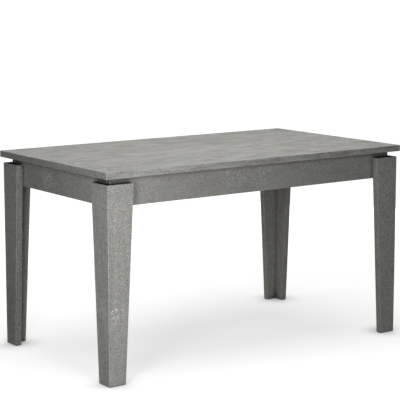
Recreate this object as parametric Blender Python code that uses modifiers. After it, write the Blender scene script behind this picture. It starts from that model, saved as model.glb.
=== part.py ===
"""Extendable dining table: a slab top on a railed frame, a leg at each corner made of two mitred boards,
and a leaf that slides out from under each end of the top.

Metres, +Z up. The origin is the middle of the footprint on the floor, and +X runs along the length.
A corner is named by its signs: (1, 1) is the one at +X and +Y, which is the rear right.
"""

import bmesh
import bpy
from mathutils import Matrix, Vector

# Overall sizes
TABLE_LENGTH = 1.400
TABLE_WIDTH = 0.790
TABLE_HEIGHT = 0.775
EXTENDED_LENGTH = 1.800
TOP_THICKNESS = 0.025

# Fits
GAP = 0.0003  # between pieces that touch
SLIDE_GAP = 0.0005  # between a sliding piece and its guide
LEG_CLEARANCE = 0.001  # between a leg's top and the leaf lip that passes over it

# Legs
LEG_INSET = 0.0095  # from the edge of the top to the outer face of a leg
LEG_THICKNESS = 0.026
LEG_WIDTH_TOP = 0.110
LEG_WIDTH_FOOT = 0.070
LEG_DROP = 0.022  # from the underside of the top to the top of a leg
GLIDE_HEIGHT = 0.002
GLIDE_INSET = 0.003

# Frame
APRON_HEIGHT = 0.106
APRON_THICKNESS = 0.020
RAIL_THICKNESS = 0.022
RAIL_RISE = 0.005  # from the lower edge of the aprons to that of the rails
CORNER_BLOCK = 0.032
CORNER_BLOCK_HEIGHT = 0.056
CORNER_BLOCK_RISE = 0.004

# Leaves
LEAF_THICKNESS = 0.016
LIP_DEPTH = 0.024
LEAF_SIDE_CLEARANCE = 0.001
RUNNER_WIDTH = 0.040
RUNNER_THICKNESS = 0.004
RUNNER_SPACING = 0.400  # between the centre lines of a leaf's two runners
RUNNER_INNER_END = 0.089
RUNNER_SETBACK = 0.0043  # from the back of the lip to the outer end of the runners
RUNNER_STOP_HEIGHT = 0.008

# Fittings
STEEL_PLATE = 0.002
KEEPER_LENGTH = 0.024
KEEPER_FOOT = 0.015
BRACKET_LEG = 0.030
BRACKET_WIDTH = 0.025
BRACKET_STATION = 0.280  # of the long aprons' brackets, from the middle of the table
BOLT_RADIUS = 0.004
BOLT_FLANGE_RADIUS = 0.009
BOLT_FLANGE_THICKNESS = 0.0015
BOLT_HEAD_RADIUS = 0.0065
BOLT_HEAD_HEIGHT = 0.0065
BOLT_SOCKET_RADIUS = 0.0035
BOLT_SOCKET_DEPTH = 0.004
BOLT_DEPTH_IN_LEG = 0.018
BOLT_FROM_CORNER = 0.093  # from the outer corner of the leg
BOLT_HEIGHTS = {"lower": 0.662, "upper": 0.694}
HOLE_LEAD = 0.005  # how far a cutter starts in front of the face it cuts

# Rounded edges
TOP_EDGE = 0.0015
BOARD_EDGE = 0.0008
HIDDEN_EDGE = 0.0005

# Worked out from the sizes above
TOP_UNDERSIDE = TABLE_HEIGHT - TOP_THICKNESS
LEG_TOP = TOP_UNDERSIDE - LEG_DROP
LEG_FOOT = GLIDE_HEIGHT + GAP
LEG_CORNER = Vector((TABLE_LENGTH / 2 - LEG_INSET, TABLE_WIDTH / 2 - LEG_INSET))
FRAME_OUT = LEG_CORNER - Vector((1, 1)) * (LEG_THICKNESS + GAP)  # outer faces of the aprons
FRAME_IN = FRAME_OUT - Vector((1, 1)) * APRON_THICKNESS  # inner faces of the aprons
APRON_FOOT = TOP_UNDERSIDE - APRON_HEIGHT
LIP_FOOT = LEG_TOP + LEG_CLEARANCE
END_APRON_TOP = LIP_FOOT - SLIDE_GAP
RUNNER_FOOT = END_APRON_TOP + GAP
RUNNER_TOP = RUNNER_FOOT + RUNNER_THICKNESS
LEAF_FOOT = RUNNER_TOP + GAP
LEAF_TOP = LEAF_FOOT + LEAF_THICKNESS
LEAF_HALF_WIDTH = FRAME_IN.y - LEAF_SIDE_CLEARANCE
LEAF_TRAVEL = EXTENDED_LENGTH / 2 - FRAME_OUT.x
KEEPER_INNER_END = RUNNER_INNER_END + RUNNER_THICKNESS + LEAF_TRAVEL + GAP
KEEPER_OUTER_END = KEEPER_INNER_END + KEEPER_LENGTH
KEEPER_STATION = KEEPER_INNER_END + KEEPER_LENGTH / 2

LONG_SIDES = {"front": -1, "rear": 1}
ENDS = {"left": -1, "right": 1}
CORNERS = {f"{side}_{end}": (sx, sy) for side, sy in LONG_SIDES.items() for end, sx in ENDS.items()}

# How an outline's own x, y and z axes lie in the world
LYING = Matrix.Identity(3)  # outline in XY, thickness along Z
ALONG_Y = Matrix(((1, 0, 0), (0, 0, -1), (0, 1, 0)))  # outline in XZ, thickness along Y
ALONG_X = Matrix(((0, 0, 1), (1, 0, 0), (0, 1, 0)))  # outline in YZ, thickness along X


def clear_scene():
    for obj in list(bpy.data.objects):
        bpy.data.objects.remove(obj)


def new_collection(name):
    collection = bpy.data.collections.new(name)
    bpy.context.scene.collection.children.link(collection)
    return collection


def new_material(name, colour, roughness, metallic=0.0):
    made = bpy.data.materials.new(name)
    made.use_nodes = True
    shader = made.node_tree.nodes["Principled BSDF"]
    shader.inputs["Base Color"].default_value = (*colour, 1.0)
    shader.inputs["Roughness"].default_value = roughness
    shader.inputs["Metallic"].default_value = metallic
    return made


def add_part(name, data, finish, place=None):
    """A part of the table, with its own material. Its place is a point or a whole matrix."""
    part = bpy.data.objects.new(name, data)
    PARTS.objects.link(part)
    if place is not None:
        part.matrix_world = place if isinstance(place, Matrix) else Matrix.Translation(place)
    colour, roughness, metallic = finish
    part.data.materials.clear()
    part.data.materials.append(new_material(f"{name}_finish", colour, roughness, metallic))
    return part


def round_edges(part, width, segments=2):
    bevel = part.modifiers.new("rounded_edges", "BEVEL")
    bevel.width = width
    bevel.segments = segments
    bevel.limit_method = "ANGLE"


def board(name, low, high, finish, edge=BOARD_EDGE, segments=2):
    """A rectangular board between two opposite corners."""
    low = Vector(low)
    high = Vector(high)
    mesh = bpy.data.meshes.new(name)
    shape = bmesh.new()
    bmesh.ops.create_cube(shape, size=1.0)
    bmesh.ops.scale(shape, vec=high - low, verts=shape.verts)
    shape.to_mesh(mesh)
    shape.free()
    part = add_part(name, mesh, finish, (low + high) / 2)
    round_edges(part, edge, segments)
    return part


def outline_part(name, points, thickness, axes, middle, finish):
    """A flat closed outline, given a thickness. Its axes say which plane it lies in."""
    curve = bpy.data.curves.new(name, "CURVE")
    curve.dimensions = "2D"
    curve.fill_mode = "BOTH"
    curve.extrude = thickness / 2
    spline = curve.splines.new("POLY")
    spline.points.add(len(points) - 1)
    for point, (x, y) in zip(spline.points, points):
        point.co = (x, y, 0.0, 1.0)
    spline.use_cyclic_u = True
    return add_part(name, curve, finish, Matrix.Translation(middle) @ axes.to_4x4())


def evaluated_mesh(obj):
    """The object's mesh with its modifiers applied. The object itself is removed."""
    bpy.context.view_layer.update()
    mesh = bpy.data.meshes.new_from_object(obj.evaluated_get(bpy.context.evaluated_depsgraph_get()))
    bpy.data.objects.remove(obj)
    return mesh


def add_cutter(name, radius, depth, place, segments=16):
    """A solid cylinder that cuts holes. It runs along its own Z."""
    mesh = bpy.data.meshes.new(name)
    shape = bmesh.new()
    bmesh.ops.create_cone(
        shape, cap_ends=True, segments=segments, radius1=radius, radius2=radius, depth=depth
    )
    shape.to_mesh(mesh)
    shape.free()
    cutter = bpy.data.objects.new(name, mesh)
    cutter.matrix_world = place
    cutter.hide_render = True
    cutter.display_type = "WIRE"
    CUTTERS.objects.link(cutter)
    return cutter


def cut(part, cutter):
    boolean = part.modifiers.new(f"cut_{cutter.name}", "BOOLEAN")
    boolean.operation = "DIFFERENCE"
    boolean.solver = "EXACT"
    boolean.object = cutter


def make_top():
    half = Vector((TABLE_LENGTH / 2, TABLE_WIDTH / 2, 0))
    low = Vector((0, 0, TOP_UNDERSIDE)) - half
    high = Vector((0, 0, TABLE_HEIGHT)) + half
    board("table_top", low, high, WOOD_TOP, TOP_EDGE, segments=3)


def make_long_aprons():
    aprons = {}
    for side, sy in LONG_SIDES.items():
        near, far = sorted((sy * FRAME_IN.y, sy * FRAME_OUT.y))
        low = (-FRAME_OUT.x, near, APRON_FOOT)
        high = (FRAME_OUT.x, far, TOP_UNDERSIDE - GAP)
        aprons[sy] = board(f"{side}_apron", low, high, WOOD_FRAME)
    return aprons


def make_end_aprons():
    """The end aprons stop short of the top, and the closed leaf's lip fills the rest of the height."""
    aprons = {}
    half_width = FRAME_IN.y - GAP
    for end, sx in ENDS.items():
        near, far = sorted((sx * FRAME_IN.x, sx * FRAME_OUT.x))
        low = (near, -half_width, APRON_FOOT)
        high = (far, half_width, END_APRON_TOP)
        aprons[sx] = board(f"{end}_end_apron", low, high, WOOD_FRAME)
    return aprons


def make_rails():
    """The centre rail carries the top, and the two cross rails carry the leaves' runners."""
    rails = {"centre_rail": (0.0, TOP_UNDERSIDE - GAP)}
    for end, sx in ENDS.items():
        rails[f"{end}_cross_rail"] = (sx * KEEPER_STATION, END_APRON_TOP)
    half_thickness = RAIL_THICKNESS / 2
    half_width = FRAME_IN.y - GAP
    for name, (station, rail_top) in rails.items():
        low = (station - half_thickness, -half_width, APRON_FOOT + RAIL_RISE)
        high = (station + half_thickness, half_width, rail_top)
        board(name, low, high, WOOD_RAIL, HIDDEN_EDGE)


def make_leg_board(name, corner, faces_end):
    """One of the two boards that wrap a corner of the frame: outer face upright, inner edge tapered.

    Across is the distance from the leg's outer corner, and inwards that from the board's outer face.
    """
    sx, sy = corner
    mitre_gap = GAP / 2 * 2**0.5
    mesh = bpy.data.meshes.new(name)
    shape = bmesh.new()
    bmesh.ops.create_cube(shape, size=1.0)
    middle = Vector((0, 0, (LEG_TOP + LEG_FOOT) / 2))
    middle.xy = (sx * LEG_CORNER.x, sy * LEG_CORNER.y)
    for vertex in shape.verts:
        inwards = LEG_THICKNESS if vertex.co.y > 0 else 0.0
        at_top = vertex.co.z > 0
        if vertex.co.x > 0:
            across = LEG_WIDTH_TOP if at_top else LEG_WIDTH_FOOT
        else:
            across = inwards + mitre_gap
        x, y = (inwards, across) if faces_end else (across, inwards)
        height = LEG_TOP if at_top else LEG_FOOT
        vertex.co = (-sx * x, -sy * y, height - middle.z)
    bmesh.ops.recalc_face_normals(shape, faces=shape.faces)
    shape.to_mesh(mesh)
    shape.free()
    part = add_part(name, mesh, WOOD_LEG, middle)
    round_edges(part, BOARD_EDGE)
    return part


def make_bolt_mesh():
    """A flange bolt with a hexagonal socket. Its shank runs down Z and its flange rests on Z = 0."""
    shank = APRON_THICKNESS + GAP + BOLT_DEPTH_IN_LEG
    head_top = BOLT_FLANGE_THICKNESS + BOLT_HEAD_HEIGHT
    profile = (
        (0.0, head_top),
        (BOLT_HEAD_RADIUS, head_top),
        (BOLT_HEAD_RADIUS, BOLT_FLANGE_THICKNESS),
        (BOLT_FLANGE_RADIUS, BOLT_FLANGE_THICKNESS),
        (BOLT_FLANGE_RADIUS, 0.0),
        (BOLT_RADIUS, 0.0),
        (BOLT_RADIUS, -shank),
        (0.0, -shank),
    )
    mesh = bpy.data.meshes.new("bolt_profile")
    edges = [(index, index + 1) for index in range(len(profile) - 1)]
    mesh.from_pydata([(radius, 0.0, height) for radius, height in profile], edges, [])
    bolt = bpy.data.objects.new("bolt_profile", mesh)
    CUTTERS.objects.link(bolt)
    turn = bolt.modifiers.new("turned", "SCREW")
    turn.steps = 16
    turn.render_steps = 16
    turn.use_merge_vertices = True
    turn.merge_threshold = 0.00001
    socket_place = Matrix.Translation((0, 0, head_top))
    socket = add_cutter("bolt_socket", BOLT_SOCKET_RADIUS, 2 * BOLT_SOCKET_DEPTH, socket_place, 6)
    cut(bolt, socket)
    bolt_mesh = evaluated_mesh(bolt)
    bpy.data.objects.remove(socket)
    bolt_mesh.shade_smooth()
    bolt_mesh.set_sharp_from_angle(angle=0.6)
    return bolt_mesh


def make_leg_bolts(name, corner, faces_end, apron, leg_board, bolt_mesh):
    """Two bolts, one above the other, from inside the frame through an apron into a leg board."""
    sx, sy = corner
    across = LEG_CORNER - Vector((1, 1)) * BOLT_FROM_CORNER
    if faces_end:
        head_at = Vector((sx * (FRAME_IN.x - GAP), sy * across.y))
        outwards = Vector((sx, 0, 0))
    else:
        head_at = Vector((sx * across.x, sy * (FRAME_IN.y - GAP)))
        outwards = Vector((0, sy, 0))
    turned = (-outwards).to_track_quat("Z", "Y").to_matrix().to_4x4()
    hole_end = APRON_THICKNESS + 2 * GAP + BOLT_DEPTH_IN_LEG + GAP
    hole_start = -HOLE_LEAD
    for level, height in BOLT_HEIGHTS.items():
        place = Matrix.Translation((*head_at, height)) @ turned
        add_part(f"{name}_bolt_{level}", bolt_mesh.copy(), STEEL_ZINC, place)
        hole_middle = Matrix.Translation((0, 0, -(hole_start + hole_end) / 2))
        hole = add_cutter(
            f"{name}_hole_{level}", BOLT_RADIUS + GAP, hole_end - hole_start, place @ hole_middle
        )
        cut(apron, hole)
        cut(leg_board, hole)


def make_corner_block(name, corner):
    sx, sy = corner
    x = sx * (FRAME_IN.x - GAP)
    y = sy * (FRAME_IN.y - GAP)
    points = ((x, y), (x - sx * CORNER_BLOCK, y), (x, y - sy * CORNER_BLOCK))
    middle = (0, 0, APRON_FOOT + CORNER_BLOCK_RISE + CORNER_BLOCK_HEIGHT / 2)
    outline_part(f"{name}_corner_block", points, CORNER_BLOCK_HEIGHT, LYING, middle, WOOD_RAIL)


def make_floor_glide(name, corner):
    """An L-shaped pad under both boards of a leg, a little smaller than they are."""
    sx, sy = corner
    near = GLIDE_INSET
    deep = LEG_THICKNESS - GLIDE_INSET
    far = LEG_WIDTH_FOOT - GLIDE_INSET
    offsets = ((near, near), (far, near), (far, deep), (deep, deep), (deep, far), (near, far))
    points = [(sx * (LEG_CORNER.x - x), sy * (LEG_CORNER.y - y)) for x, y in offsets]
    middle = (0, 0, GLIDE_HEIGHT / 2)
    outline_part(f"{name}_floor_glide", points, GLIDE_HEIGHT, LYING, middle, FELT)


def make_legs(long_aprons, end_aprons):
    bolt_mesh = make_bolt_mesh()
    for name, corner in CORNERS.items():
        sx, sy = corner
        side_board = make_leg_board(f"{name}_leg_side_board", corner, faces_end=False)
        end_board = make_leg_board(f"{name}_leg_end_board", corner, faces_end=True)
        make_leg_bolts(f"{name}_side", corner, False, long_aprons[sy], side_board, bolt_mesh)
        make_leg_bolts(f"{name}_end", corner, True, end_aprons[sx], end_board, bolt_mesh)
        make_corner_block(name, corner)
        make_floor_glide(name, corner)
    bpy.data.meshes.remove(bolt_mesh)


def make_runner(name, sx, sy):
    """A flat steel bar under the leaf, turned up at its inner end so that it stops at its keeper."""
    inner = sx * RUNNER_INNER_END
    outer = sx * (FRAME_OUT.x - LIP_DEPTH - RUNNER_SETBACK)
    turned_up = sx * (RUNNER_INNER_END + RUNNER_THICKNESS)
    points = (
        (inner, RUNNER_FOOT),
        (outer, RUNNER_FOOT),
        (outer, RUNNER_TOP),
        (turned_up, RUNNER_TOP),
        (turned_up, RUNNER_TOP + RUNNER_STOP_HEIGHT),
        (inner, RUNNER_TOP + RUNNER_STOP_HEIGHT),
    )
    middle = (0, sy * RUNNER_SPACING / 2, 0)
    return outline_part(name, points, RUNNER_WIDTH, ALONG_Y, middle, STEEL_DARK)


def make_leaf(end, sx):
    """A leaf panel with its thick front lip and two runners, all carried by an empty that slides along X."""
    lip_back = FRAME_OUT.x - LIP_DEPTH
    lip_near, lip_far = sorted((sx * lip_back, sx * FRAME_OUT.x))
    panel_near, panel_far = sorted((sx * (KEEPER_OUTER_END + GAP), sx * (lip_back - GAP)))
    pieces = [
        board(
            f"{end}_leaf_lip",
            (lip_near, -LEAF_HALF_WIDTH, LIP_FOOT),
            (lip_far, LEAF_HALF_WIDTH, LEAF_TOP),
            WOOD_FRAME,
        ),
        board(
            f"{end}_leaf_panel",
            (panel_near, -LEAF_HALF_WIDTH, LEAF_FOOT),
            (panel_far, LEAF_HALF_WIDTH, LEAF_TOP),
            WOOD_TOP,
        ),
    ]
    for side, sy in LONG_SIDES.items():
        pieces.append(make_runner(f"{end}_leaf_runner_{side}", sx, sy))
    slide = bpy.data.objects.new(f"{end}_leaf_slide", None)
    slide.location = (sx * FRAME_OUT.x, 0, (LEAF_TOP + RUNNER_FOOT) / 2)
    PARTS.objects.link(slide)
    bpy.context.view_layer.update()
    for piece in pieces:
        piece.parent = slide
        piece.matrix_parent_inverse = slide.matrix_world.inverted()


def make_keeper(name, sx, sy):
    """A hat-shaped strap on a cross rail. It holds the runner down and meets its turned-up end."""
    foot = END_APRON_TOP + GAP
    inner_top = RUNNER_TOP + SLIDE_GAP
    inner = RUNNER_WIDTH / 2 + SLIDE_GAP
    outer = inner + STEEL_PLATE
    end = outer + KEEPER_FOOT
    right_half = (
        (inner, inner_top),
        (inner, foot),
        (end, foot),
        (end, foot + STEEL_PLATE),
        (outer, foot + STEEL_PLATE),
        (outer, inner_top + STEEL_PLATE),
    )
    left_half = [(-y, z) for y, z in reversed(right_half)]
    middle = (sx * KEEPER_STATION, sy * RUNNER_SPACING / 2, 0)
    outline_part(name, (*right_half, *left_half), KEEPER_LENGTH, ALONG_X, middle, STEEL_ZINC)


def make_bracket(name, corner_at, inwards, axes, middle):
    """An angle bracket between a frame member and the top. It is an L in the plane of its outline."""
    height = TOP_UNDERSIDE - GAP
    offsets = (
        (0, 0),
        (0, BRACKET_LEG),
        (STEEL_PLATE, BRACKET_LEG),
        (STEEL_PLATE, STEEL_PLATE),
        (BRACKET_LEG, STEEL_PLATE),
        (BRACKET_LEG, 0),
    )
    points = [(corner_at + inwards * across, height - down) for across, down in offsets]
    outline_part(name, points, BRACKET_WIDTH, axes, middle, STEEL_ZINC)


def make_brackets():
    for name, (sx, sy) in CORNERS.items():
        middle = (sx * BRACKET_STATION, 0, 0)
        make_bracket(f"{name}_top_bracket", sy * (FRAME_IN.y - GAP), -sy, ALONG_X, middle)
    for end, sx in ENDS.items():
        rail_face = sx * (RAIL_THICKNESS / 2 + GAP)
        make_bracket(f"centre_{end}_top_bracket", rail_face, sx, ALONG_Y, (0, 0, 0))


def make_table():
    make_top()
    long_aprons = make_long_aprons()
    end_aprons = make_end_aprons()
    make_rails()
    make_legs(long_aprons, end_aprons)
    for end, sx in ENDS.items():
        make_leaf(end, sx)
        for side, sy in LONG_SIDES.items():
            make_keeper(f"{end}_runner_keeper_{side}", sx, sy)
    make_brackets()


# Finishes: colour, roughness, metallic
WOOD_TOP = ((0.36, 0.36, 0.34), 0.55, 0.0)
WOOD_FRAME = ((0.35, 0.35, 0.33), 0.6, 0.0)
WOOD_LEG = ((0.35, 0.35, 0.33), 0.6, 0.0)
WOOD_RAIL = ((0.45, 0.36, 0.25), 0.7, 0.0)
STEEL_DARK = ((0.08, 0.08, 0.085), 0.45, 0.8)
STEEL_ZINC = ((0.55, 0.55, 0.57), 0.35, 1.0)
FELT = ((0.05, 0.05, 0.05), 0.95, 0.0)

clear_scene()
PARTS = new_collection("extendable_dining_table")
CUTTERS = new_collection("cutters")
make_table()
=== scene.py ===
"""Looks of the extendable dining table, in metres.

Finishes, small hardware, light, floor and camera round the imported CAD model."""

import math

import bmesh
import bpy
from mathutils import Matrix, Vector


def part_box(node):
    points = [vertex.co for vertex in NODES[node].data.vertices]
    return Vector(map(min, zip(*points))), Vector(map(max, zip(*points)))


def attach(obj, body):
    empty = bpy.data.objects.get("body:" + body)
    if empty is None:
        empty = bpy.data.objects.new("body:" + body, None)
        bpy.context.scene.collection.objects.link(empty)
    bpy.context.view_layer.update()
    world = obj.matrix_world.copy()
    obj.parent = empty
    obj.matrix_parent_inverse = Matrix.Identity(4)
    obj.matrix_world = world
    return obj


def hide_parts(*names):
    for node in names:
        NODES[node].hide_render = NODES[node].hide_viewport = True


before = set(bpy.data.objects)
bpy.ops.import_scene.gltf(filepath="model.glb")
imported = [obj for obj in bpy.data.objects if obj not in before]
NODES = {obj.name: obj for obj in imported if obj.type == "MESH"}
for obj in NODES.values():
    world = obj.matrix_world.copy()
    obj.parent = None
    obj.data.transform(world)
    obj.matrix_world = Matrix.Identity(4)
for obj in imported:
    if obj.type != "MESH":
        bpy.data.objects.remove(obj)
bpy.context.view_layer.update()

ALONG_X, ALONG_Y, ALONG_Z = "along_x", "along_y", "along_z"
GRAIN_TURN = {  # turns a board's own frame so that its grain runs along X
    ALONG_X: (0.0, 0.0, 0.0),
    ALONG_Y: (0.0, 0.0, -math.pi / 2),
    ALONG_Z: (0.0, math.pi / 2, 0.0),
}
SEED_STEP = Vector((3.17, 1.31, 2.23))  # between the pieces of wood that two boards are cut from
GRAIN_SKEW = 0.012  # radians by which the grain runs out of true, at most
SKEW_STEP = 2.4  # radians between two boards in the sine that spreads the skew
FACING_LIMIT = 0.7  # a face looks along an axis when its direction has more than this along it


# ---------------------------------------------------------------- node tools


class Net:
    """Adds nodes to one tree with short calls."""

    def __init__(self, tree):
        self.tree = tree

    def put(self, socket, value):
        if isinstance(value, bpy.types.NodeSocket):
            self.tree.links.new(value, socket)
        elif value is not None:
            socket.default_value = value

    def add(self, kind, inputs=None, **settings):
        node = self.tree.nodes.new(kind)
        for name, value in settings.items():
            setattr(node, name, value)
        for key, value in (inputs or {}).items():
            self.put(node.inputs[key], value)
        return node

    def math(self, operation, *values, clamp=False):
        node = self.add("ShaderNodeMath", operation=operation, use_clamp=clamp)
        for socket, value in zip(node.inputs, values):
            self.put(socket, value)
        return node.outputs[0]

    def vector(self, operation, *values, out="Vector"):
        node = self.add("ShaderNodeVectorMath", operation=operation)
        for socket, value in zip(node.inputs, values):
            self.put(socket, value)
        return node.outputs[out]

    def noise(self, place, stretch, detail=2.0, rough=0.5, distortion=0.0):
        """Noise of the given number of features per metre along each axis."""
        values = {
            "Vector": self.vector("MULTIPLY", place, stretch),
            "Scale": 1.0,
            "Detail": detail,
            "Roughness": rough,
            "Distortion": distortion,
        }
        return self.add("ShaderNodeTexNoise", values).outputs[0]

    def remap(self, value, low, high, to_low=0.0, to_high=1.0, smooth=False):
        node = self.add("ShaderNodeMapRange", interpolation_type="SMOOTHSTEP" if smooth else "LINEAR")
        for socket, number in zip(node.inputs, (value, low, high, to_low, to_high)):
            self.put(socket, number)
        return node.outputs[0]

    def mix(self, factor, colour, other):
        node = self.add("ShaderNodeMix", data_type="RGBA", blend_type="MIX")
        for index, value in ((0, factor), (6, colour), (7, other)):
            self.put(node.inputs[index], value)
        return node.outputs[2]

    def cover(self, colour, coat, mask, amount=1.0):
        """The colour with a coat over it where the mask is 1."""
        return self.mix(self.math("MULTIPLY", mask, amount), colour, coat)

    def sway(self, total, value, middle, share):
        """The total, moved by the value's distance from its middle, times the share."""
        return self.math("MULTIPLY_ADD", self.math("SUBTRACT", value, middle), share, total)

    def choose(self, factor, vector, other):
        node = self.add("ShaderNodeMix", data_type="VECTOR")
        for index, value in ((0, factor), (4, vector), (5, other)):
            self.put(node.inputs[index], value)
        return node.outputs[1]

    def ramp(self, value, stops):
        node = self.add("ShaderNodeValToRGB", {0: value})
        elements = node.color_ramp.elements
        while len(elements) < len(stops):
            elements.new(0.5)
        for element, (position, colour) in zip(elements, stops):
            element.position = position
            element.color = (*colour, 1.0)
        return node.outputs[0]

    def separate(self, vector):
        return self.add("ShaderNodeSeparateXYZ", {0: vector}).outputs

    def bump(self, height, strength, distance):
        values = {"Height": height, "Strength": strength, "Distance": distance}
        return self.add("ShaderNodeBump", values).outputs[0]


def new_group(name, inputs, outputs):
    tree = bpy.data.node_groups.new(name, "ShaderNodeTree")
    for label, kind in inputs:
        tree.interface.new_socket(label, in_out="INPUT", socket_type=kind)
    for label, kind in outputs:
        tree.interface.new_socket(label, in_out="OUTPUT", socket_type=kind)
    net = Net(tree)
    return net, net.add("NodeGroupInput").outputs, net.add("NodeGroupOutput").inputs


def new_material(name, **constants):
    """A material with one Principled shader, whose constants are set on its own sockets."""
    material = bpy.data.materials.new(name)
    material.use_nodes = True
    net = Net(material.node_tree)
    shader = material.node_tree.nodes["Principled BSDF"]
    for label, value in constants.items():
        shader.inputs[label.replace("_", " ")].default_value = value
    return material, net, shader.inputs


def outer_edge_mask(net, radius):
    """1 on edges and corners that stick out, 0 on flat faces."""
    rounded = net.add("ShaderNodeBevel", {"Radius": radius}, samples=4).outputs[0]
    flat = net.add("ShaderNodeNewGeometry").outputs["True Normal"]
    facing = net.vector("DOT_PRODUCT", rounded, flat, out="Value")
    return net.remap(facing, 0.995, 0.86)


# ---------------------------------------------------------------- wood


WOOD_INPUTS = (
    ("Place", "NodeSocketVector"),  # with the grain along X
    ("Facing", "NodeSocketVector"),  # the face's own direction in the same frame
    ("Scuff", "NodeSocketFloat"),  # 1 on a pale scratch, -1 on a dark nick
    ("Tone", "NodeSocketFloat"),
    ("Streaks", "NodeSocketFloat"),  # how much of the grain is in long lines
    ("Mottle", "NodeSocketFloat"),  # how much of the grain is in small spots
    ("Marks", "NodeSocketFloat"),  # how many places are rubbed through
    ("End Grain", "NodeSocketFloat"),  # how dark the ends of the board are; nearly black at full, as darker end grain and as painted shade over the tops of the legs
    ("Crease", "NodeSocketFloat"),  # how much painted shade lies in the joints with other boards
    ("Gap", "NodeSocketFloat"),  # how much painted shade lies in the narrow gaps
)
WOOD_OUTPUTS = (
    ("Colour", "NodeSocketColor"),
    ("Roughness", "NodeSocketFloat"),
    ("Normal", "NodeSocketVector"),
)
SETTINGS = ("Tone", "Streaks", "Mottle", "Marks", "End Grain", "Crease", "Gap")
BAND_STREAKS, BAND_MOTTLE = 0.35, 1.8  # on a veneered end, in place of the board's own
STAIN = (  # from the darkest grain to the palest
    (0.10, (0.190, 0.184, 0.168)),
    (0.36, (0.300, 0.294, 0.275)),
    (0.55, (0.375, 0.370, 0.348)),
    (0.85, (0.500, 0.496, 0.474)),
)
PORE = (0.105, 0.100, 0.090, 1.0)
# nearly black end grain: darker end grain, and painted shade over the tops of the legs
END_FIBRE_AND_SHADE, END_PORE_AND_SHADE = (0.034, 0.032, 0.029, 1.0), (0.012, 0.011, 0.010, 1.0)
RUBBED = (0.66, 0.655, 0.63, 1.0)
SCRATCHED = (0.86, 0.85, 0.82, 1.0)
NICKED = (0.10, 0.098, 0.09, 1.0)
# painted shade in creases, where other boards block the light
CREASE_PAINTED_SHADE = (0.030, 0.029, 0.026, 1.0)
# painted shade in narrow gaps, such as over the tops of the legs
GAP_PAINTED_SHADE = (0.018, 0.017, 0.015, 1.0)
# pale rubbed edges, bright enough to be a painted highlight too
WORN_EDGE_AND_HIGHLIGHT = (0.78, 0.775, 0.75, 1.0)
PLAIN_WOOD = ((0.1, (0.30, 0.19, 0.10)), (0.5, (0.50, 0.37, 0.22)), (0.9, (0.62, 0.50, 0.34)))
PLAIN_END_GRAIN = (0.24, 0.15, 0.08, 1.0)
SAW_MARK = (0.36, 0.26, 0.16, 1.0)


def looks_along(net, direction, axis):
    """1 where the direction is near the axis, either way along it."""
    return net.math("GREATER_THAN", net.math("ABSOLUTE", net.separate(direction)[axis]), FACING_LIMIT)


def recess_mask(net, distance, open_enough, closed):
    """1 in gaps and corners, 0 on open faces."""
    openness = net.add("ShaderNodeAmbientOcclusion", {"Distance": distance}, samples=8).outputs["AO"]
    return net.remap(openness, open_enough, closed)


def growth_rings(net, place, tilt, per_metre, unevenness):
    """0 to 1 across each growth ring. The rings lie round the X axis, and the board cuts them at a tilt."""
    x, y, z = net.separate(place)
    across = net.math("MULTIPLY_ADD", x, tilt, y)
    square = net.math("MULTIPLY_ADD", across, across, net.math("MULTIPLY", z, z))
    turns = net.math("MULTIPLY_ADD", net.math("SQRT", square), per_metre, unevenness)
    return net.math("FRACT", turns)


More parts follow.
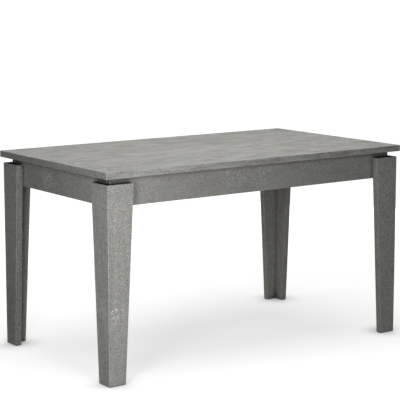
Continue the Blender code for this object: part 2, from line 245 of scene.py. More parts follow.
def weathered_grain_group():
    """Grey-stained open-grain wood with the stain rubbed thin on edges, pale enough to be a painted highlight
    there too, and with painted shade in its creases, gaps and on the ends of the legs.
    """
    net, given, result = new_group("weathered grain", WOOD_INPUTS, WOOD_OUTPUTS)
    place, scuff = given["Place"], given["Scuff"]
    # the grain wanders a little
    stretched = net.vector("MULTIPLY", place, (1.7, 4.0, 4.0))
    wander = net.add("ShaderNodeTexNoise", {"Vector": stretched, "Scale": 1.0, "Detail": 1.0})
    centred = net.vector("SUBTRACT", wander.outputs[1], (0.5, 0.5, 0.5))
    bent = net.vector("ADD", place, net.vector("MULTIPLY", centred, (0.0, 0.045, 0.045)))
    # the parts of the grain, from the longest to the finest
    uneven = net.noise(bent, (0.8, 14.0, 14.0))
    ring = growth_rings(net, bent, 0.035, 95.0, net.math("MULTIPLY", uneven, 3.5))
    late_wood = net.remap(net.math("MULTIPLY", ring, ring), 0.15, 0.95, smooth=True)
    figure = net.noise(bent, (1.5, 9.0, 9.0), detail=3.0, rough=0.55)
    blotch = net.noise(place, (3.2, 3.6, 3.6))
    band = net.noise(bent, (10.0, 54.0, 54.0), rough=0.6)
    streak = net.noise(bent, (9.0, 120.0, 120.0), detail=3.0, rough=0.6)
    mottle = net.noise(bent, (270.0, 450.0, 450.0), detail=1.0, rough=0.6)
    fibre = net.noise(bent, (60.0, 850.0, 850.0), rough=0.6)
    # pores: short dark lines along the grain, crowded in the early wood
    pore_field = net.noise(bent, (150.0, 1700.0, 1700.0), detail=1.0)
    pore_band = net.math("MULTIPLY_ADD", late_wood, -0.07, 0.03)
    pore = net.remap(net.math("ADD", pore_field, pore_band), 0.60, 0.68)
    # tone, about 0.5 on average
    long_part = net.sway(0.0, figure, 0.5, 0.30)
    long_part = net.sway(long_part, band, 0.5, 1.10)
    long_part = net.sway(long_part, streak, 0.5, 0.45)
    long_part = net.sway(long_part, late_wood, 0.4, -0.14)
    tone = net.math("MULTIPLY_ADD", long_part, given["Streaks"], 0.5)
    spots = net.math("MULTIPLY", net.math("SUBTRACT", mottle, 0.5), given["Mottle"])
    tone = net.math("MULTIPLY_ADD", spots, 1.95, tone)
    tone = net.sway(tone, fibre, 0.5, 0.50)
    tone = net.sway(tone, blotch, 0.5, 0.22)
    colour = net.cover(net.ramp(tone, STAIN), PORE, pore, 0.5)
    # end grain: dots instead of lines, nearly black, so that on the tops of the legs it is painted shade as
    # well as darker end grain
    dots = net.remap(net.noise(place, (900.0, 900.0, 900.0), detail=1.0), 0.5, 0.66)
    end_grain_and_shade = net.cover(END_FIBRE_AND_SHADE, END_PORE_AND_SHADE, dots, 0.7)
    colour = net.cover(colour, end_grain_and_shade, looks_along(net, given["Facing"], 0), given["End Grain"])
    # pale flecks where the stain was rubbed through, slanting across the grain
    slant = net.add("ShaderNodeMapping", {"Vector": place, "Rotation": (0.5, 0.3, 0.62)}).outputs[0]
    fleck_field = net.noise(slant, (55.0, 240.0, 240.0), rough=0.55)
    fleck_patch = net.remap(net.noise(place, (9.0, 12.0, 12.0), detail=1.0), 0.46, 0.66)
    fleck = net.math("MULTIPLY", net.remap(fleck_field, 0.60, 0.68), fleck_patch)
    fleck = net.math("MULTIPLY", fleck, given["Marks"])
    colour = net.cover(colour, RUBBED, fleck, 0.55)
    # scratches and nicks
    colour = net.cover(colour, SCRATCHED, net.math("MAXIMUM", scuff, 0.0), 0.95)
    colour = net.cover(colour, NICKED, net.math("MAXIMUM", net.math("MULTIPLY", scuff, -1.0), 0.0), 0.6)
    # painted shade in the creases and gaps
    crease = recess_mask(net, distance=0.028, open_enough=0.92, closed=0.55)
    colour = net.cover(colour, CREASE_PAINTED_SHADE, crease, given["Crease"])
    gap = recess_mask(net, distance=0.05, open_enough=0.57, closed=0.29)
    colour = net.cover(colour, GAP_PAINTED_SHADE, gap, given["Gap"])
    # worn edges, pale enough to be painted highlights too
    edge_break = net.noise(place, (45.0, 60.0, 60.0), detail=3.0, rough=0.7)
    edge_break = net.remap(edge_break, 0.34, 0.60, 0.35, 1.0)
    worn_and_highlit = net.math("MULTIPLY", outer_edge_mask(net, radius=0.0024), edge_break)
    colour = net.cover(colour, WORN_EDGE_AND_HIGHLIGHT, worn_and_highlit, 0.95)
    net.put(result["Colour"], net.vector("SCALE", colour, None, None, given["Tone"]))
    rough = net.math("MULTIPLY_ADD", pore, 0.22, 0.50)
    rough = net.math("MULTIPLY_ADD", fibre, 0.14, rough)
    rough = net.math("MULTIPLY_ADD", worn_and_highlit, -0.08, rough, clamp=True)
    net.put(result["Roughness"], rough)
    height = net.math("MULTIPLY_ADD", fibre, 0.45, net.math("MULTIPLY", streak, 0.35))
    height = net.math("MULTIPLY_ADD", mottle, 0.3, height)
    height = net.math("MULTIPLY_ADD", pore, -0.8, height)
    height = net.math("MULTIPLY_ADD", net.math("ADD", fleck, scuff), 0.3, height)
    net.put(result["Normal"], net.bump(height, strength=0.55, distance=0.0004))
    return net.tree


def softwood_group():
    """Plain planed softwood for the rails and blocks under the top."""
    net, given, result = new_group("softwood", WOOD_INPUTS, WOOD_OUTPUTS)
    place = given["Place"]
    uneven = net.noise(place, (1.2, 10.0, 10.0))
    ring = growth_rings(net, place, 0.02, 240.0, net.math("MULTIPLY", uneven, 4.0))
    late_wood = net.remap(ring, 0.35, 1.0, smooth=True)
    streak = net.noise(place, (6.0, 140.0, 140.0), detail=3.0, rough=0.6)
    fibre = net.noise(place, (50.0, 1100.0, 1100.0))
    blotch = net.noise(place, (4.0, 8.0, 8.0))
    tone = net.math("MULTIPLY_ADD", late_wood, -0.38, 0.72)
    tone = net.sway(tone, streak, 0.5, given["Streaks"])
    tone = net.sway(tone, blotch, 0.5, 0.4)
    tone = net.sway(tone, fibre, 0.5, 0.35)
    colour = net.ramp(tone, PLAIN_WOOD)
    colour = net.cover(colour, PLAIN_END_GRAIN, looks_along(net, given["Facing"], 0), given["End Grain"])
    saw = net.remap(net.noise(place, (300.0, 6.0, 6.0), detail=1.0), 0.45, 0.6)
    colour = net.cover(colour, SAW_MARK, net.math("MULTIPLY", saw, given["Marks"]), 0.12)
    net.put(result["Colour"], net.vector("SCALE", colour, None, None, given["Tone"]))
    net.put(result["Roughness"], net.math("MULTIPLY_ADD", fibre, 0.2, 0.6, clamp=True))
    height = net.math("MULTIPLY_ADD", fibre, 0.6, net.math("MULTIPLY", streak, 0.4))
    net.put(result["Normal"], net.bump(height, strength=0.5, distance=0.0004))
    return net.tree


WEATHERED = weathered_grain_group()
SOFTWOOD = softwood_group()


def scuffs(net, place, marks):
    """Strokes inside each scuffed spot, each along its direction, in the plane of the board's face."""
    total = None
    for spot, reach, direction, facing, strength in marks:
        along = Vector(direction).normalized()
        across = along.cross(Vector(facing))
        run = net.vector("DOT_PRODUCT", place, along, out="Value")
        side = net.vector("DOT_PRODUCT", place, across, out="Value")
        on_face = net.add("ShaderNodeCombineXYZ", {0: run, 1: side}).outputs[0]
        strokes = net.noise(on_face, (62.0, 300.0, 1.0), detail=1.0)
        pale = net.remap(strokes, 0.57, 0.62)
        dark = net.remap(strokes, 0.36, 0.29)
        from_spot = net.vector("LENGTH", net.vector("SUBTRACT", place, spot), out="Value")
        near = net.remap(from_spot, reach, reach * 0.3, smooth=True)
        patches = net.remap(net.noise(place, (50.0, 50.0, 50.0), detail=1.0), 0.38, 0.55)
        amount = net.math("MULTIPLY", net.math("MULTIPLY", near, patches), strength)
        stroke = net.math("MULTIPLY", net.math("SUBTRACT", pale, dark), amount)
        total = stroke if total is None else net.math("ADD", total, stroke)
    return total


def veneered_ends(net, place, settings, on_band):
    """The place with the grain turned across the board on its ends, and the settings with the ends' own."""
    x, y, z = net.separate(place)
    swapped = net.add("ShaderNodeCombineXYZ", {0: y, 1: x, 2: z}).outputs[0]
    streaks = net.remap(on_band, 0.0, 1.0, settings["Streaks"], BAND_STREAKS)
    mottle = net.remap(on_band, 0.0, 1.0, settings["Mottle"], BAND_MOTTLE)
    return net.choose(on_band, place, swapped), settings | {"Streaks": streaks, "Mottle": mottle}


def wood(name, group, grain, seed, settings, banded, slides, face_shading_tones, marks):
    """One board's finish. Each board has its own piece of the grain.

    A banded board has strips of veneer on its ends. A board that slides has painted shade in its joints only
    on the faces that look along X, because its other faces come out into view."""
    material, net, shader = new_material(name, IOR=1.45, Specular_IOR_Level=0.42)
    where = net.add("ShaderNodeTexCoord").outputs
    looks_along_x = looks_along(net, where["Normal"], 0)
    place = where["Object"]
    if banded:
        place, settings = veneered_ends(net, place, settings, looks_along_x)
    if slides:
        # painted shade in the joints, kept to the faces that look along X
        painted_shade = {label: net.math("MULTIPLY", looks_along_x, settings[label]) for label in ("Crease", "Gap")}
        settings = settings | painted_shade
    tone = settings["Tone"]
    # faces along one axis painted lighter or darker, as light and shade
    for axis, face_shading_tone in face_shading_tones:
        tone = net.remap(looks_along(net, where["Normal"], axis), 0.0, 1.0, tone, face_shading_tone)
    turn = Vector(GRAIN_TURN[grain])
    skewed = turn + Vector((0.0, 0.0, GRAIN_SKEW * math.sin(seed * SKEW_STEP)))
    moved = {"Vector": place, "Rotation": skewed, "Location": SEED_STEP * seed}
    turned = {"Vector": where["Normal"], "Rotation": turn}
    grained = net.add("ShaderNodeGroup", node_tree=group)
    values = settings | {
        "Place": net.add("ShaderNodeMapping", moved).outputs[0],
        "Facing": net.add("ShaderNodeMapping", turned, vector_type="VECTOR").outputs[0],
        "Scuff": scuffs(net, where["Object"], marks) if marks else 0.0,
        "Tone": tone,
    }
    for label, value in values.items():
        net.put(grained.inputs[label], value)
    net.put(shader["Base Color"], grained.outputs["Colour"])
    net.put(shader["Roughness"], grained.outputs["Roughness"])
    net.put(shader["Normal"], grained.outputs["Normal"])
    return material


# ---------------------------------------------------------------- metal and felt


ZINC_CLOUD = ((0.3, (0.40, 0.41, 0.43)), (0.5, (0.56, 0.56, 0.58)), (0.7, (0.66, 0.65, 0.61)))
ZINC_WORN = (0.78, 0.78, 0.79, 1.0)
ZINC_SCRATCH = (0.76, 0.76, 0.78, 1.0)
ENAMEL_CLOUD = ((0.3, (0.060, 0.060, 0.064)), (0.7, (0.095, 0.095, 0.100)))
ENAMEL_RUBBED = (0.22, 0.22, 0.225, 1.0)
ENAMEL_WORN = (0.34, 0.34, 0.345, 1.0)
FELT_TANGLE = ((0.3, (0.022, 0.021, 0.020)), (0.7, (0.085, 0.082, 0.078)))


def zinc_plated_steel():
    material, net, shader = new_material("zinc_plated_steel", Metallic=1.0)
    place = net.add("ShaderNodeTexCoord").outputs["Object"]
    cloud = net.noise(place, (60.0, 60.0, 60.0), detail=3.0, rough=0.6)
    grit = net.noise(place, (900.0, 900.0, 900.0))
    scratch = net.remap(net.noise(place, (70.0, 2400.0, 600.0), detail=1.0), 0.62, 0.72)
    colour = net.cover(net.ramp(cloud, ZINC_CLOUD), ZINC_WORN, outer_edge_mask(net, radius=0.0006), 0.5)
    net.put(shader["Base Color"], net.cover(colour, ZINC_SCRATCH, scratch, 0.35))
    net.put(shader["Roughness"], net.math("MULTIPLY_ADD", cloud, 0.3, 0.22))
    net.put(shader["Normal"], net.bump(net.math("ADD", grit, scratch), strength=0.25, distance=0.0001))
    return material


def dark_enamelled_steel():
    material, net, shader = new_material("dark_enamelled_steel", Metallic=0.8)
    place = net.add("ShaderNodeTexCoord").outputs["Object"]
    peel = net.noise(place, (650.0, 650.0, 650.0))
    cloud = net.noise(place, (25.0, 25.0, 25.0), detail=3.0)
    rub = net.remap(net.noise(place, (3.0, 420.0, 60.0), detail=3.0, rough=0.7), 0.60, 0.74)
    colour = net.cover(net.ramp(cloud, ENAMEL_CLOUD), ENAMEL_RUBBED, rub, 0.45)
    net.put(shader["Base Color"], net.cover(colour, ENAMEL_WORN, outer_edge_mask(net, radius=0.0008), 0.4))
    net.put(shader["Roughness"], net.math("MULTIPLY_ADD", peel, 0.25, 0.30))
    net.put(shader["Normal"], net.bump(peel, strength=0.3, distance=0.0002))
    return material


def dark_felt():
    looks = {"Sheen_Weight": 0.5, "Sheen_Roughness": 0.6, "Specular_IOR_Level": 0.1}
    material, net, shader = new_material("dark_felt", **looks)
    place = net.add("ShaderNodeTexCoord").outputs["Object"]
    tangle = net.noise(place, (1400.0, 1400.0, 900.0), detail=4.0, rough=0.75, distortion=1.5)
    cloud = net.noise(place, (90.0, 90.0, 90.0))
    shade = net.math("MULTIPLY_ADD", cloud, 0.3, net.math("MULTIPLY", tangle, 0.7))
    net.put(shader["Base Color"], net.ramp(shade, FELT_TANGLE))
    net.put(shader["Roughness"], net.remap(tangle, 0.0, 1.0, 0.88, 1.0))
    net.put(shader["Normal"], net.bump(tangle, strength=0.8, distance=0.0004))
    return material


ZINC = zinc_plated_steel()
ENAMEL = dark_enamelled_steel()
FELT = dark_felt()


# ---------------------------------------------------------------- finishes of the CAD nodes


def paint(node, material):
    data = NODES[node].data
    for index in range(len(data.materials)):
        data.materials[index] = material
    if not data.materials:
        data.materials.append(material)


# words in the node's name, group, grain, and the settings in the order of SETTINGS
WOOD_RULES = (
    ("table_top", WEATHERED, ALONG_X, (1.0, 1.1, 1.0, 0.25, 0.0, 0.4, 0.93)),
    ("leaf_panel", WEATHERED, ALONG_X, (1.0, 1.1, 1.0, 0.25, 0.3, 0.0, 0.0)),
    ("leaf_lip", WEATHERED, ALONG_Y, (0.97, 0.25, 1.5, 0.9, 0.3, 0.55, 0.85)),
    ("end_apron", WEATHERED, ALONG_Y, (0.97, 0.25, 1.5, 0.9, 0.3, 0.5, 0.85)),
    ("apron", WEATHERED, ALONG_X, (0.95, 0.25, 0.72, 0.8, 0.0, 0.5, 0.6)),
    ("rear_left_leg_side_board", WEATHERED, ALONG_Z, (0.85, 0.35, 1.1, 1.0, 1.0, 0.15, 0.93)),
    ("rear_left_leg_end_board", WEATHERED, ALONG_Z, (1.0, 0.3, 1.7, 1.0, 1.0, 0.02, 0.93)),
    ("front_right_leg_side_board", WEATHERED, ALONG_Z, (1.0, 0.12, 1.5, 1.0, 1.0, 0.02, 0.93)),
    ("leg_side_board", WEATHERED, ALONG_Z, (1.0, 0.35, 1.05, 1.0, 1.0, 0.02, 0.93)),
    ("leg_end_board", WEATHERED, ALONG_Z, (1.0, 0.35, 1.25, 1.0, 1.0, 0.02, 0.93)),
    ("corner_block", SOFTWOOD, ALONG_Z, (1.0, 0.5, 1.0, 1.0, 0.45, 0.0, 0.0)),
    ("cross_rail", SOFTWOOD, ALONG_Y, (1.0, 0.5, 1.0, 1.0, 0.45, 0.0, 0.0)),
    ("centre_rail", SOFTWOOD, ALONG_X, (1.0, 0.5, 1.0, 1.0, 0.45, 0.0, 0.0)),
)
FACE_SHADING_TONES = {  # faces painted lighter or darker, as light and shade: the axis they face along, and their tone
    "table_top": ((0, 0.87), (1, 0.96)),
    "front_right_leg_side_board": ((0, 0.82),),
    "rear_left_leg_end_board": ((1, 0.83),),
    "rear_right_leg_side_board": ((0, 1.30),),
}
SCUFFS = {  # middle of the spot, reach, way the strokes run, way the face looks, strength
    "front_left_leg_side_board": (
        ((-0.664, -0.386, 0.278), 0.050, (0.7, 0.0, 0.7), (0.0, -1.0, 0.0), 1.0),
        ((-0.652, -0.386, 0.245), 0.035, (0.5, 0.0, -0.9), (0.0, -1.0, 0.0), 0.6),
        ((-0.669, -0.386, 0.587), 0.050, (0.6, 0.0, 0.8), (0.0, -1.0, 0.0), 0.35),
    ),
    "front_left_leg_end_board": (
        ((-0.691, -0.334, 0.280), 0.050, (0.0, -0.6, 0.8), (-1.0, 0.0, 0.0), 0.9),
    ),
    "front_apron": (
        ((-0.120, -0.359, 0.725), 0.080, (-0.5, 0.0, 0.85), (0.0, -1.0, 0.0), 0.6),
        ((0.010, -0.359, 0.705), 0.070, (-0.7, 0.0, 0.6), (0.0, -1.0, 0.0), 0.45),
    ),
    "left_end_apron": (
        ((-0.664, 0.086, 0.700), 0.060, (0.0, 0.5, 0.8), (-1.0, 0.0, 0.0), 1.0),
    ),
    "left_leaf_lip": (
        ((-0.664, 0.086, 0.735), 0.060, (0.0, 0.5, 0.8), (-1.0, 0.0, 0.0), 1.0),
    ),
}
OTHER_RULES = (  # words in the node's name, material
    ("runner_keeper", ZINC),
    ("bracket", ZINC),
    ("bolt", ZINC),
    ("leaf_runner", ENAMEL),
    ("floor_glide", FELT),
)


def finish_of(node, seed):
    """The material of the first rule whose words are in the node's name."""
    for words, group, grain, numbers in WOOD_RULES:
        if words in node:
            settings = dict(zip(SETTINGS, numbers))
            banded = node == "table_top"
            slides = words == "leaf_lip"
            face_shading_tones = FACE_SHADING_TONES.get(node, ())
            marks = SCUFFS.get(node, ())
            return wood(f"wood_{node}", group, grain, seed, settings, banded, slides, face_shading_tones, marks)
    for words, material in OTHER_RULES:
        if words in node:
            return material
    raise ValueError(f"no finish for {node}")


for seed, node in enumerate(sorted(NODES), start=1):
    paint(node, finish_of(node, seed))


# ---------------------------------------------------------------- fittings


FITTING_EDGE = 0.00025  # rounding of the edges of pressed steel
SMOOTH_ANGLE = 0.6  # radians between two faces, above which their edge stays sharp
RIM_ANGLE = 1.0  # radians, above which the edge of a sheet is rounded
TOUCHING = 1e-6  # two points closer than this are level
SCREW_SIDES = 24
PAN_SCREW = (  # radius and height of each ring, from the tip to the top of the head
    (0.0005, -0.0110),
    (0.0014, -0.0095),
    (0.0015, 0.0),
    (0.0032, 0.0),
    (0.0035, 0.0004),
    (0.0035, 0.0009),
    (0.0032, 0.0015),
    (0.0027, 0.0019),
    (0.0021, 0.0021),
)
FLUSH_SCREW = ((0.0005, -0.0130), (0.0014, -0.0115), (0.0015, -0.0023), (0.0035, -0.0003), (0.0035, 0.0))
PAN_CROSS = (0.0017, 0.00042, 0.0013)  # length of an arm, half its width, and its depth
FLUSH_CROSS = (0.0019, 0.00045, 0.0014)
CROSS_TAPER = 0.6  # size of the floor of the recess against its mouth

PRESSED_PLATE = 0.002  # thickness of a bracket or keeper
BRACKET_BEND, BRACKET_CORNER = 0.003, 0.004  # outer radius of the bend, radius of the corners of the ends
BRACKET_HOLES = ((0.012, -0.006), (0.022, 0.006))  # from the bend, and along the width
KEEPER_BEND, KEEPER_CORNER = 0.0028, 0.003
KEEPER_CLEARANCE = 0.0005  # on each side of the runner
KEEPER_HOLE = 0.0302  # from the middle of the strap
RUNNER_PLATE = 0.004  # thickness of the bar
RUNNER_BEND, RUNNER_CORNER = 0.001, 0.003  # inner radius of the bend, radius of the corners of the ends
RUNNER_HOLES = (  # from the inner end, and along the width
    (0.300, -0.009),
    (0.370, 0.009),
    (0.440, -0.009),
    (0.520, 0.009),
)
DRILL_RADIUS = 0.0018
COUNTERSINK_TOP = 0.00255  # above the underside of the runner
COUNTERSINK_RADII = (0.0047, 0.0015)  # at its lower and upper ends
CUT_PAST = 0.001  # how far a cutter goes past the face that it cuts
BLOCK_HOLE = 0.014  # above and below the middle of a corner block


def ring(shape, radius, height):
    angles = [2 * math.pi * step / SCREW_SIDES for step in range(SCREW_SIDES)]
    return [shape.verts.new((radius * math.cos(a), radius * math.sin(a), height)) for a in angles]


def join_rings(shape, lower, upper):
    for i in range(len(lower)):
        shape.faces.new((lower[i - 1], lower[i], upper[i], upper[i - 1]))


def finished_mesh(name, shape, material):
    bmesh.ops.recalc_face_normals(shape, faces=shape.faces)
    mesh = bpy.data.meshes.new(name)
    shape.to_mesh(mesh)
    shape.free()
    mesh.materials.append(material)
    mesh.shade_smooth()
    mesh.set_sharp_from_angle(angle=SMOOTH_ANGLE)
    return mesh


def cross_outline(arm, half_width):
    """The twelve corners of a cross: three for each arm, a quarter turn on from the last three."""
    corners = []
    quarter = [(arm, -half_width), (arm, half_width), (half_width, half_width)]
    for _ in range(4):
        corners += quarter
        quarter = [(-y, x) for x, y in quarter]
    return corners


def screw_mesh(name, profile, cross):
    """A screw along Z, its seat at Z = 0, with a tapered cross recess in its head."""
    shape = bmesh.new()
    rings = [ring(shape, radius, height) for radius, height in profile]
    shape.faces.new(rings[0])
    for lower, upper in zip(rings, rings[1:]):
        join_rings(shape, lower, upper)
    arm, half_width, depth = cross
    outline = cross_outline(arm, half_width)
    top = profile[-1][1]
    mouth = [shape.verts.new((x, y, top)) for x, y in outline]
    bottom = [shape.verts.new((x * CROSS_TAPER, y * CROSS_TAPER, top - depth)) for x, y in outline]
    join_rings(shape, bottom, mouth)
    shape.faces.new(bottom)
    loops = []
    for line in (rings[-1], mouth):
        loops += [shape.edges.get((line[i - 1], line[i])) for i in range(len(line))]
    bmesh.ops.triangle_fill(shape, edges=loops, use_beauty=True)
    return finished_mesh(name, shape, ZINC)


def arc(centre, radius, start, end, steps=5):
    angles = [math.radians(start + (end - start) * step / steps) for step in range(steps + 1)]
    return [(centre[0] + radius * math.cos(a), centre[1] + radius * math.sin(a)) for a in angles]


def is_end_corner(edge, ends):
    """True for an edge that goes through the sheet at one of its ends, each given as an axis and a reach."""
    first, second = (vert.co for vert in edge.verts)
    if abs(first.y - second.y) > TOUCHING:
        return False
    return any(min(abs(first[axis]), abs(second[axis])) > reach - TOUCHING for axis, reach in ends)


def pressed_shape(outline, width, ends, corner_radius):
    """Sheet metal: an outline in XZ, drawn out along Y, with the corners of its ends rounded."""
    shape = bmesh.new()
    face = shape.faces.new([shape.verts.new((x, -width / 2, z)) for x, z in outline])
    drawn = bmesh.ops.extrude_face_region(shape, geom=[face])["geom"]
    moved = [item for item in drawn if isinstance(item, bmesh.types.BMVert)]
    bmesh.ops.translate(shape, verts=moved, vec=(0, width, 0))
    bmesh.ops.recalc_face_normals(shape, faces=shape.faces)
    corners = [edge for edge in shape.edges if is_end_corner(edge, ends)]
    bmesh.ops.bevel(shape, geom=corners, offset=corner_radius, segments=5, profile=0.5, affect="EDGES")
    joined = [edge for edge in shape.edges if len(edge.link_faces) == 2]
    rims = [edge for edge in joined if edge.calc_face_angle(0.0) > RIM_ANGLE]
    bmesh.ops.bevel(shape, geom=rims, offset=FITTING_EDGE, segments=2, profile=0.5, affect="EDGES")
    return shape


def bracket_mesh(leg, width):
    """An angle bracket: X away from the frame, Z down from the top."""
    plate, bend = PRESSED_PLATE, BRACKET_BEND
    outline = [(0, leg), *arc((bend, bend), bend, 180, 270), (leg, 0), (leg, plate)]
    outline += [*arc((bend, bend), bend - plate, 270, 180), (plate, leg)]
    shape = pressed_shape(outline, width, ((0, leg), (2, leg)), BRACKET_CORNER)
    return finished_mesh("bracket", shape, ZINC)


def keeper_mesh(half, inner, height, length):
    """A hat-shaped strap: X across the runner, Z up, Y along the runner."""
    plate, bend = PRESSED_PLATE, KEEPER_BEND
    tight = bend - plate
    outer = inner + plate
    right = [(inner - tight, height - plate)]
    right += arc((inner - tight, height - plate - tight), tight, 90, 0, 3)[1:]
    right += [*arc((inner + bend, bend), bend, 180, 270), (half, 0), (half, plate)]
    right += arc((inner + bend, bend), tight, 270, 180)
    right += arc((outer - bend, height - bend), bend, 0, 90)
    left = [(-x, z) for x, z in reversed(right)]
    shape = pressed_shape(right + left, length, ((0, half),), KEEPER_CORNER)
    return finished_mesh("keeper", shape, ZINC)


def add_cone(shape, x, y, low, high, radius_low, radius_high):
    bmesh.ops.create_cone(
        shape,
        cap_ends=True,
        segments=SCREW_SIDES,
        radius1=radius_low,
        radius2=radius_high,
        depth=high - low,
        matrix=Matrix.Translation((x, y, (low + high) / 2)),
    )


def runner_drills():
    """A countersink and a drill at each hole of a runner."""
    shape = bmesh.new()
    for x, y in RUNNER_HOLES:
        add_cone(shape, x, y, -CUT_PAST, COUNTERSINK_TOP, *COUNTERSINK_RADII)
        add_cone(shape, x, y, CUT_PAST, RUNNER_PLATE + CUT_PAST, DRILL_RADIUS, DRILL_RADIUS)
    return finished_mesh("runner_drills", shape, ENAMEL)


def runner_mesh(length, height, width):
    """A flat bar along X from its turned-up inner end, with countersunk holes in its underside."""
    plate, tight = RUNNER_PLATE, RUNNER_BEND
    wide = plate + tight
    outline = [(length, 0), (length, plate), *arc((wide, wide), tight, 270, 180, 3)]
    outline += [(plate, height), (0, height), *arc((wide, wide), wide, 180, 270, 6)]
    shape = pressed_shape(outline, width, ((0, length), (2, height)), RUNNER_CORNER)
    bar = bpy.data.objects.new("runner_blank", finished_mesh("runner_blank", shape, ENAMEL))
    cutter = bpy.data.objects.new("runner_drills", runner_drills())
    for item in (bar, cutter):
        bpy.context.scene.collection.objects.link(item)
    cut = bar.modifiers.new("cut", "BOOLEAN")
    cut.operation = "DIFFERENCE"
    cut.solver = "EXACT"
    cut.use_self = True
    cut.object = cutter
    graph = bpy.context.evaluated_depsgraph_get()
    mesh = bpy.data.meshes.new_from_object(bar.evaluated_get(graph))
    for item in (bar, cutter):
        bpy.data.objects.remove(item)
    mesh.set_sharp_from_angle(angle=SMOOTH_ANGLE)
    return mesh


def add_piece(name, mesh, place, body, replaced=None):
    """A copy of the mesh, put in place. A mirrored copy has its faces turned the right way out."""
    mesh = mesh.copy()
    mesh.name = name
    mesh.transform(place)
    if place.to_3x3().determinant() < 0:
        mesh.flip_normals()
    piece = bpy.data.objects.new(name, mesh)
    bpy.context.scene.collection.objects.link(piece)
    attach(piece, body)
    if replaced:
        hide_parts(replaced)


def axes_at(origin, x_axis, y_axis, z_axis):
    """The place of a mesh with its origin and its axes as given."""
    turned = Matrix((x_axis, y_axis, z_axis)).transposed().to_4x4()
    return Matrix.Translation(origin) @ turned


def screw_at(point, outwards):
    """The place of a screw whose seat is at the point and whose head looks outwards."""
    return Matrix.Translation(point) @ Vector(outwards).to_track_quat("Z", "Y").to_matrix().to_4x4()


def sign_of(value):
    return 1 if value > 0 else -1


def add_brackets(pan_screw):
    low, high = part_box("front_left_top_bracket")
    mesh = bracket_mesh(high.z - low.z, high.x - low.x)
    down = Vector((0, 0, -1))
    for node in [name for name in sorted(NODES) if name.endswith("top_bracket")]:
        low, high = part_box(node)
        middle = (low + high) / 2
        if node.startswith("centre"):
            away = Vector((sign_of(middle.x), 0, 0))
        else:
            away = Vector((0, -sign_of(middle.y), 0))
        across = down.cross(away)
        corner = Vector((middle.x, middle.y, high.z)) - away * (high.z - low.z) / 2
        add_piece(f"{node}_plate", mesh, axes_at(corner, away, across, down), "table", node)
        for number, (reach, along) in enumerate(BRACKET_HOLES, start=1):
            into_frame = screw_at(corner + away * PRESSED_PLATE + down * reach + across * along, away)
            into_top = screw_at(corner + down * PRESSED_PLATE + away * reach + across * along, down)
            add_piece(f"{node}_frame_screw_{number}", pan_screw, into_frame, "table")
            add_piece(f"{node}_top_screw_{number}", pan_screw, into_top, "table")


def add_keepers(pan_screw):
    runner_low, runner_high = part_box("right_leaf_runner_front")
    half_opening = (runner_high.y - runner_low.y) / 2 + KEEPER_CLEARANCE
    for node in [name for name in sorted(NODES) if "runner_keeper" in name]:
        low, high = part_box(node)
        middle = (low + high) / 2
        mesh = keeper_mesh((high.y - low.y) / 2, half_opening, high.z - low.z, high.x - low.x)
        place = axes_at((middle.x, middle.y, low.z), (0, 1, 0), (-1, 0, 0), (0, 0, 1))
        add_piece(f"{node}_strap", mesh, place, "table", node)
        for side, offset in (("front", -KEEPER_HOLE), ("rear", KEEPER_HOLE)):
            seat = (middle.x, middle.y + offset, low.z + PRESSED_PLATE)
            add_piece(f"{node}_{side}_screw", pan_screw, screw_at(seat, (0, 0, 1)), "table")


def add_runners(flush_screw):
    low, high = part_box("right_leaf_runner_front")
    mesh = runner_mesh(high.x - low.x, high.z - low.z, high.y - low.y)
    for node in [name for name in sorted(NODES) if "leaf_runner" in name]:
        low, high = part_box(node)
        end = sign_of(low.x)
        body = "right_leaf" if end > 0 else "left_leaf"
        inner = Vector((low.x if end > 0 else high.x, (low.y + high.y) / 2, low.z))
        place = axes_at(inner, (end, 0, 0), (0, 1, 0), (0, 0, 1))
        add_piece(f"{node}_bar", mesh, place, body, node)
        for number, (reach, along) in enumerate(RUNNER_HOLES, start=1):
            seat = inner + Vector((end * reach, along, 0))
            add_piece(f"{node}_screw_{number}", flush_screw, screw_at(seat, (0, 0, -1)), body)


def add_block_screws(pan_screw):
    for node in [name for name in sorted(NODES) if name.endswith("corner_block")]:
        low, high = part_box(node)
        middle = (low + high) / 2
        inwards = Vector((-sign_of(middle.x), -sign_of(middle.y), 0)).normalized()
        for level, rise in (("lower", -BLOCK_HOLE), ("upper", BLOCK_HOLE)):
            seat = middle + Vector((0, 0, rise))
            add_piece(f"{node}_screw_{level}", pan_screw, screw_at(seat, inwards), "table")


def add_fittings():
    pan_screw = screw_mesh("pan_screw", PAN_SCREW, PAN_CROSS)
    flush_screw = screw_mesh("flush_screw", FLUSH_SCREW, FLUSH_CROSS)
    add_brackets(pan_screw)
    add_keepers(pan_screw)
    add_runners(flush_screw)
    add_block_screws(pan_screw)


add_fittings()


# ---------------------------------------------------------------- camera, floor and light


CAMERA_PLACE = (-3.1988, -4.4284, 1.4379)
CAMERA_TURN = 35.7044  # degrees from +Y towards +X
CAMERA_DIP = 8.2652  # degrees below the level
CAMERA_ROLL = -0.0327  # degrees
CAMERA_LENS, CAMERA_SENSOR = 124.0785, 36.0  # millimetres
CAMERA_SHIFT = -0.05
CAMERA_REACH = 500.0
FLOOR_HALF_WIDTH = 200.0
FLOOR_COLOUR = (0.55, 0.55, 0.55, 1.0)
FLOOR_GLOW = (0.683, 1.05)  # near the table, and far away
GLOW_REACH = (1.0, 2.2)  # where the glow starts to rise, and where it is full
GLOW_SHAPE = (0.75, 1.0, 0.0)  # the near part is an ellipse, longer along X
CONTACT_REACH, CONTACT_GLOW = 0.10, 0.45  # the glow fades to this share beside a foot
WHITE = (1.0, 1.0, 1.0, 1.0)
AMBIENT = 0.06


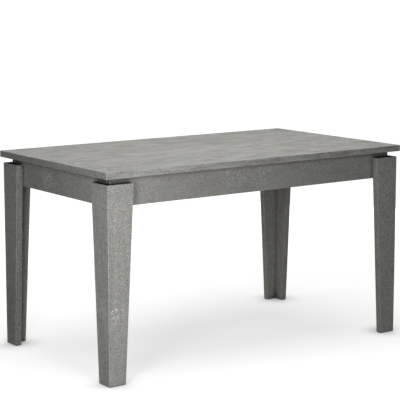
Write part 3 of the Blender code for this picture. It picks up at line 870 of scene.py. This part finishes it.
def add_camera():
    data = bpy.data.cameras.new("camera")
    data.lens = CAMERA_LENS
    data.sensor_width = CAMERA_SENSOR
    data.shift_y = CAMERA_SHIFT
    data.clip_end = CAMERA_REACH
    camera = bpy.data.objects.new("camera", data)
    bpy.context.scene.collection.objects.link(camera)
    turn, dip = math.radians(CAMERA_TURN), math.radians(CAMERA_DIP)
    forward = Vector((math.sin(turn) * math.cos(dip), math.cos(turn) * math.cos(dip), -math.sin(dip)))
    roll = Matrix.Rotation(math.radians(CAMERA_ROLL), 3, "Z").to_quaternion()
    camera.location = CAMERA_PLACE
    camera.rotation_mode = "QUATERNION"
    camera.rotation_quaternion = forward.to_track_quat("-Z", "Y") @ roll
    bpy.context.scene.camera = camera


def floor_material():
    looks = {"Base_Color": FLOOR_COLOUR, "Roughness": 0.9, "Specular_IOR_Level": 0.0, "Emission_Color": WHITE}
    material, net, shader = new_material("pale_floor", **looks)
    place = net.add("ShaderNodeTexCoord").outputs["Object"]
    away = net.vector("LENGTH", net.vector("MULTIPLY", place, GLOW_SHAPE), out="Value")
    glow = net.remap(away, *GLOW_REACH, *FLOOR_GLOW, smooth=True)
    # painted contact shadow: the floor's glow dims beside the feet and under the table
    openness = net.add("ShaderNodeAmbientOcclusion", {"Distance": CONTACT_REACH}, samples=8).outputs["AO"]
    contact_shadow = net.remap(openness, 0.5, 1.0, CONTACT_GLOW, 1.0)
    net.put(shader["Emission Strength"], net.math("MULTIPLY", glow, contact_shadow))
    return material


def add_floor():
    """A pale floor that lightens away from the table, and so meets the white background without a line."""
    shape = bmesh.new()
    bmesh.ops.create_grid(shape, x_segments=8, y_segments=8, size=FLOOR_HALF_WIDTH)
    mesh = bpy.data.meshes.new("floor")
    shape.to_mesh(mesh)
    shape.free()
    mesh.materials.append(floor_material())
    floor = bpy.data.objects.new("floor", mesh)
    floor.visible_diffuse = False
    floor.visible_glossy = False
    bpy.context.scene.collection.objects.link(floor)


def add_area_light(name, place, aim, width, height, watts, lights_floor):
    data = bpy.data.lights.new(name, "AREA")
    data.shape = "RECTANGLE"
    data.size = width
    data.size_y = height
    data.energy = watts
    light = bpy.data.objects.new(name, data)
    light.location = place
    light.rotation_mode = "QUATERNION"
    light.rotation_quaternion = (Vector(aim) - Vector(place)).to_track_quat("-Z", "Y")
    light.visible_camera = False
    bpy.context.scene.collection.objects.link(light)
    if not lights_floor:
        lit = bpy.data.collections.new(f"{name}_lights")
        lit.objects.link(bpy.data.objects["floor"])
        light.light_linking.receiver_collection = lit
        lit.collection_objects[0].light_linking.link_state = "EXCLUDE"


def add_world(ambient):
    world = bpy.data.worlds.new("studio")
    world.use_nodes = True
    net = Net(world.node_tree)
    background = world.node_tree.nodes["Background"]
    is_camera = net.add("ShaderNodeLightPath").outputs["Is Camera Ray"]
    strength = net.remap(is_camera, 0.0, 1.0, ambient, 1.0)
    net.put(background.inputs["Color"], WHITE)
    net.put(background.inputs["Strength"], strength)
    bpy.context.scene.world = world


LIGHTS = (  # name, place, aimed at, width, height, watts, whether it lights the floor
    ("key_front", (-0.8, -1.5, 0.75), (-0.65, -0.4, 0.6), 0.4, 1.0, 3.4, True),
    ("key_left", (-1.8, -1.2, 0.72), (-0.65, -0.4, 0.52), 0.4, 1.0, 13.7, True),
    ("key_wide", (-0.7, -2.2, 0.62), (-0.5, -0.4, 0.45), 0.6, 1.2, 9.8, True),
    ("overhead", (0.0, 0.0, 2.6), (0.0, 0.0, 0.7), 2.6, 2.0, 53.0, True),
    ("low_rear_fill", (2.6, 2.2, 0.38), (0.0, 0.0, 0.36), 2.0, 0.7, 14.0, True),
    ("right_fill", (2.9, 0.75, 0.50), (0.7, 0.0, 0.50), 0.6, 0.5, 20.0, False),
    ("rear_fill", (0.95, 3.2, 0.45), (0.0, 0.4, 0.45), 0.7, 0.5, 26.0, False),
)

add_camera()
add_floor()
add_world(AMBIENT)
for light in LIGHTS:
    add_area_light(*light)
bpy.context.scene.view_settings.view_transform = "Standard"
